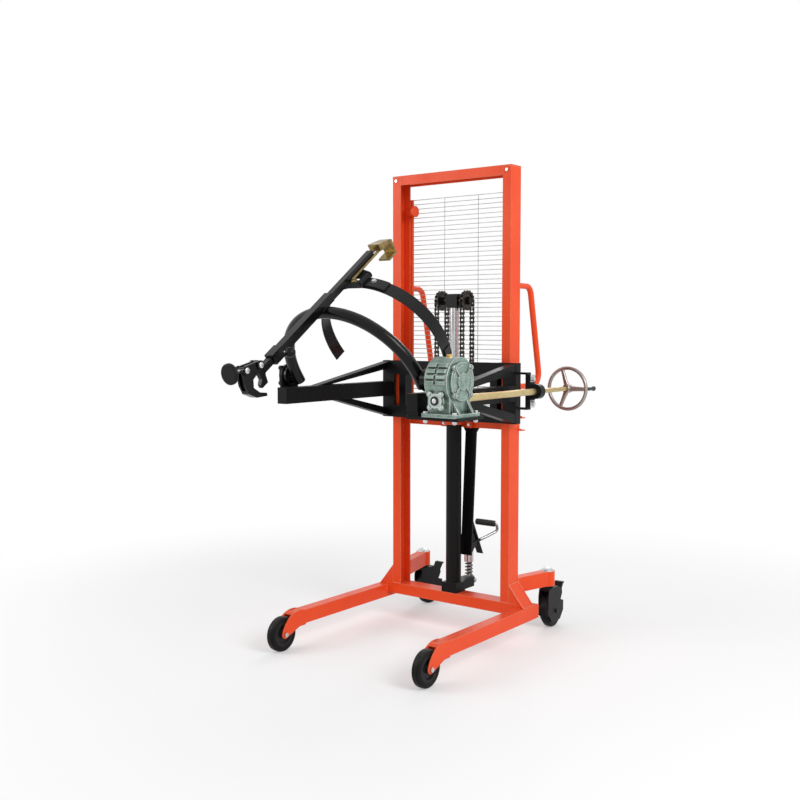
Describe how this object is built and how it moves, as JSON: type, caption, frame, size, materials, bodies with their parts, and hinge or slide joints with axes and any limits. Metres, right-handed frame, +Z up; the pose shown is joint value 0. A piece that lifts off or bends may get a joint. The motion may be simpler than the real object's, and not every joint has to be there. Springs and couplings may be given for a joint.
{
  "type": "hydraulic drum truck",
  "caption": "Wheeled lift mast with a foot-pumped chain lift and a worm-geared tilting holder that grips, raises and tips a steel drum.",
  "frame": {"origin": "on the floor, midway between the two mast uprights", "axes": "+Z up, -Y to the front where the legs point, +X to the gearbox and hand wheel side"},
  "size_m": [0.972, 1.7883, 2.08],
  "materials": {
    "orange_paint": "satin orange enamel",
    "black_paint": "satin black enamel",
    "green_paint": "green-grey hammertone paint on castings",
    "zinc_yellow": "yellow zinc plate",
    "bright_steel": "bright zinc plate",
    "guard_wire": "welded zinc-plated wire",
    "chain_steel": "oiled dark steel",
    "chrome_rod": "hard chrome",
    "wheel_casting": "polished cast aluminium",
    "wheel_core": "dark painted casting",
    "tyre_rubber": "matt rubber",
    "black_plastic": "moulded, slightly glossy",
    "brass_plug": "turned"
  },
  "bodies": {
    "truck_frame": {"leg_left": "orange_paint", "leg_right": "orange_paint", "cross_member": "orange_paint", "upright_left": "orange_paint", "upright_right": "orange_paint", "top_beam": "orange_paint", "mid_bar": "orange_paint", "guard_mesh": "guard_wire", "rear_arm_left": "orange_paint", "rear_arm_right": "orange_paint", "push_handles": "orange_paint", "lift_cylinder": "black_paint", "chain_anchors": "bright_steel", "rear_chains": "chain_steel", "pump_body": "black_paint", "pump_stay": "black_paint", "pump_spring": "chain_steel", "frame_fasteners": "bright_steel"},
    "piston": {"piston_rod": "chrome_rod", "chain_wraps": "chain_steel", "front_chains": "chain_steel"},
    "sprocket_pair": {"sprockets": "chain_steel"},
    "carriage": {"carriage_frame": "black_paint", "carriage_arm_left": "black_paint", "carriage_arm_right": "black_paint", "trunnion_bearing": "black_paint", "gearbox_housing": "green_paint", "gearbox_covers": "green_paint", "gearbox_bolts": "bright_steel", "filler_plug": "brass_plug", "rod_bearing": "black_paint"},
    "upper_roller_pair": {"upper_rollers": "chain_steel"},
    "lower_roller_pair": {"lower_rollers": "chain_steel"},
    "drum_holder": {"tilt_hoop": "black_paint", "tilt_shafts": "bright_steel", "worm_wheel": "brass_plug", "post": "black_paint"},
    "band_right": {"band_arm_right": "black_paint"},
    "band_left": {"band_arm_left": "black_paint"},
    "claw": {"bottom_claw": "zinc_yellow"},
    "clamp_slide": {"clamp_tube": "black_paint"},
    "jaw": {"clamp_jaw": "black_paint"},
    "jaw_screw": {"clamp_screw": "black_plastic"},
    "slide_lock": {"lock_knob": "black_plastic"},
    "worm_drive": {"worm_rod": "zinc_yellow", "hand_wheel": "wheel_casting"},
    "wheel_knob": {"wheel_grip": "black_plastic"},
    "pedal": {"foot_pedal": "black_paint", "pedal_grip": "tyre_rubber"},
    "plunger": {"pump_plunger": "bright_steel"},
    "front_roll_right": {"front_wheel_right": "wheel_core", "front_tyre_right": "tyre_rubber"},
    "front_roll_left": {"front_wheel_left": "wheel_core", "front_tyre_left": "tyre_rubber"},
    "caster_right": {"caster_fork_right": "black_paint"},
    "caster_left": {"caster_fork_left": "black_paint"},
    "caster_roll_right": {"caster_wheel_right": "tyre_rubber"},
    "caster_roll_left": {"caster_wheel_left": "tyre_rubber"},
    "brake_right": {"caster_pedal_right": "black_paint"},
    "brake_left": {"caster_pedal_left": "black_paint"}
  },
  "joints": [
    {"name": "piston_lift", "type": "slide", "parent": "truck_frame", "child": "piston", "axis": [0, 0, 1], "range_m": [-0.29, 0.325], "deforming": ["rear_chains"]},
    {"name": "carriage_lift", "type": "slide", "parent": "piston", "child": "carriage", "axis": [0, 0, 1], "range_m": [-0.29, 0.325], "deforming": ["front_chains"]},
    {"name": "sprocket_turn", "type": "hinge", "parent": "piston", "child": "sprocket_pair", "pos_m": [0, 0, 1.502], "axis": [1, 0, 0], "range_deg": [-475, 495]},
    {"name": "upper_roller_turn", "type": "hinge", "parent": "carriage", "child": "upper_roller_pair", "pos_m": [0, 0, 1.195], "axis": [1, 0, 0], "range_deg": [-1140, 1090]},
    {"name": "lower_roller_turn", "type": "hinge", "parent": "carriage", "child": "lower_roller_pair", "pos_m": [0, 0, 0.999], "axis": [1, 0, 0], "range_deg": [-1090, 1140]},
    {"name": "drum_tilt", "type": "hinge", "parent": "carriage", "child": "drum_holder", "pos_m": [0, -0.7, 1.18], "axis": [1, 0, 0], "range_deg": [-136, 64]},
    {"name": "hand_wheel_turn", "type": "hinge", "parent": "carriage", "child": "worm_drive", "pos_m": [0.455, 0.23, 1.11], "axis": [0, 1, 0], "range_deg": [-1925, 4085]},
    {"name": "wheel_knob_spin", "type": "hinge", "parent": "worm_drive", "child": "wheel_knob", "pos_m": [0.547, 0.272, 1.11], "axis": [0, 1, 0], "continuous": true},
    {"name": "band_right_swing", "type": "hinge", "parent": "drum_holder", "child": "band_right", "pos_m": [0.034, -0.68805, 1.57186], "axis": [0, -0.809, -0.5878], "range_deg": [0, 20]},
    {"name": "band_left_swing", "type": "hinge", "parent": "drum_holder", "child": "band_left", "pos_m": [-0.034, -0.68805, 1.57186], "axis": [0, -0.809, -0.5878], "range_deg": [-20, 0]},
    {"name": "claw_slide", "type": "slide", "parent": "drum_holder", "child": "claw", "axis": [0, -0.809, -0.5878], "range_m": [-0.045, 0.01]},
    {"name": "clamp_height", "type": "slide", "parent": "drum_holder", "child": "clamp_slide", "axis": [0, -0.809, -0.5878], "range_m": [-0.04, 0.1]},
    {"name": "jaw_swing", "type": "hinge", "parent": "clamp_slide", "child": "jaw", "pos_m": [0, -1.25925, 1.2471], "axis": [1, 0, 0], "range_deg": [-50, 0]},
    {"name": "jaw_screw_turn", "type": "hinge", "parent": "jaw", "child": "jaw_screw", "pos_m": [0, -1.32873, 1.22875], "axis": [0, -0.9848, -0.1736], "continuous": true},
    {"name": "slide_lock_turn", "type": "hinge", "parent": "drum_holder", "child": "slide_lock", "pos_m": [0.06, -1.14777, 1.29101], "axis": [1, 0, 0], "continuous": true},
    {"name": "pedal_press", "type": "hinge", "parent": "truck_frame", "child": "pedal", "pos_m": [0, 0.086, 0.362], "axis": [1, 0, 0], "range_deg": [-20, 0]},
    {"name": "plunger_stroke", "type": "slide", "parent": "truck_frame", "child": "plunger", "axis": [0, 0, 1], "range_m": [-0.0155, 0], "stiffness_N_per_m": 8000, "springref_m": 0.02, "deforming": ["pump_spring"]},
    {"name": "front_wheel_right_roll", "type": "hinge", "parent": "truck_frame", "child": "front_roll_right", "pos_m": [0.381, -0.744, 0.075], "axis": [1, 0, 0], "continuous": true},
    {"name": "front_wheel_left_roll", "type": "hinge", "parent": "truck_frame", "child": "front_roll_left", "pos_m": [-0.381, -0.744, 0.075], "axis": [1, 0, 0], "continuous": true},
    {"name": "caster_right_swivel", "type": "hinge", "parent": "truck_frame", "child": "caster_right", "pos_m": [0.352, 0.249, 0.202], "axis": [0, 0, 1], "continuous": true},
    {"name": "caster_right_roll", "type": "hinge", "parent": "caster_right", "child": "caster_roll_right", "pos_m": [0.3498, 0.29094, 0.075], "axis": [0.9986, 0.0523, 0], "continuous": true},
    {"name": "caster_right_brake", "type": "hinge", "parent": "caster_right", "child": "brake_right", "pos_m": [0.34721, 0.34037, 0.156], "axis": [0.9986, 0.0523, 0], "range_deg": [-14, 0]},
    {"name": "caster_left_swivel", "type": "hinge", "parent": "truck_frame", "child": "caster_left", "pos_m": [-0.352, 0.249, 0.202], "axis": [0, 0, 1], "continuous": true},
    {"name": "caster_left_roll", "type": "hinge", "parent": "caster_left", "child": "caster_roll_left", "pos_m": [-0.34834, 0.29084, 0.075], "axis": [0.9962, -0.0872, 0], "continuous": true},
    {"name": "caster_left_brake", "type": "hinge", "parent": "caster_left", "child": "brake_left", "pos_m": [-0.34403, 0.34015, 0.156], "axis": [0.9962, -0.0872, 0], "range_deg": [-14, 0]}
  ],
  "couplings": [
    {"joint": "carriage_lift", "follows": "piston_lift", "ratio": 1},
    {"joint": "sprocket_turn", "follows": "piston_lift", "rad_per_m": -25.125},
    {"joint": "upper_roller_turn", "follows": "piston_lift", "rad_per_m": 57.971},
    {"joint": "lower_roller_turn", "follows": "piston_lift", "rad_per_m": -57.971},
    {"joint": "hand_wheel_turn", "follows": "drum_tilt", "ratio": -30},
    {"joint": "plunger_stroke", "follows": "pedal_press", "m_per_rad": 0.042}
  ]
}
